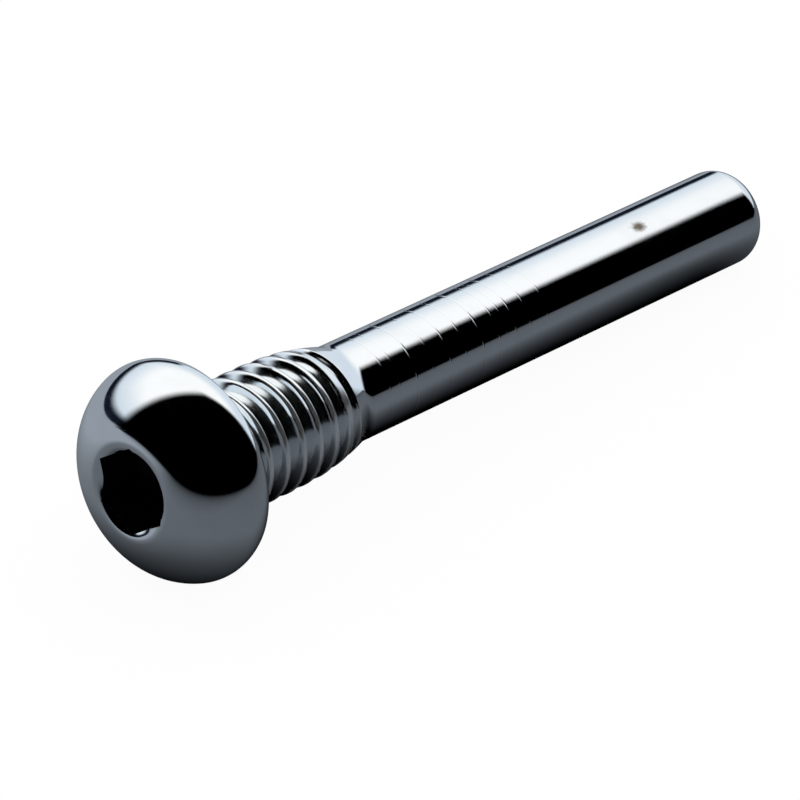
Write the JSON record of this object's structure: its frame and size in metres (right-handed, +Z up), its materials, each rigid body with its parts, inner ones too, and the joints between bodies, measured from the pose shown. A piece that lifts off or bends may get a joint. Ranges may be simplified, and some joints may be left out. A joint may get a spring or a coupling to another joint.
{
  "type": "brake pad pin",
  "caption": "One-piece brake pad pin: button head with a hex socket, short coarse thread, two tapers where it runs out, and a long smooth shank with a rounded tip.",
  "frame": {"origin": "on the floor below the middle of the pin's bounding box, as it lies at rest", "axes": "+X from the head to the tip, +Z up; the pin's own axis slopes down towards the tip by 4.36 degrees, because it lies on its head rim and its tip"},
  "size_m": [0.0538, 0.0134, 0.0135],
  "materials": {
    "chrome": "bright chrome plate on steel, with fine turning marks"
  },
  "bodies": {
    "root": {"brake_pad_pin": "chrome"}
  },
  "joints": []
}
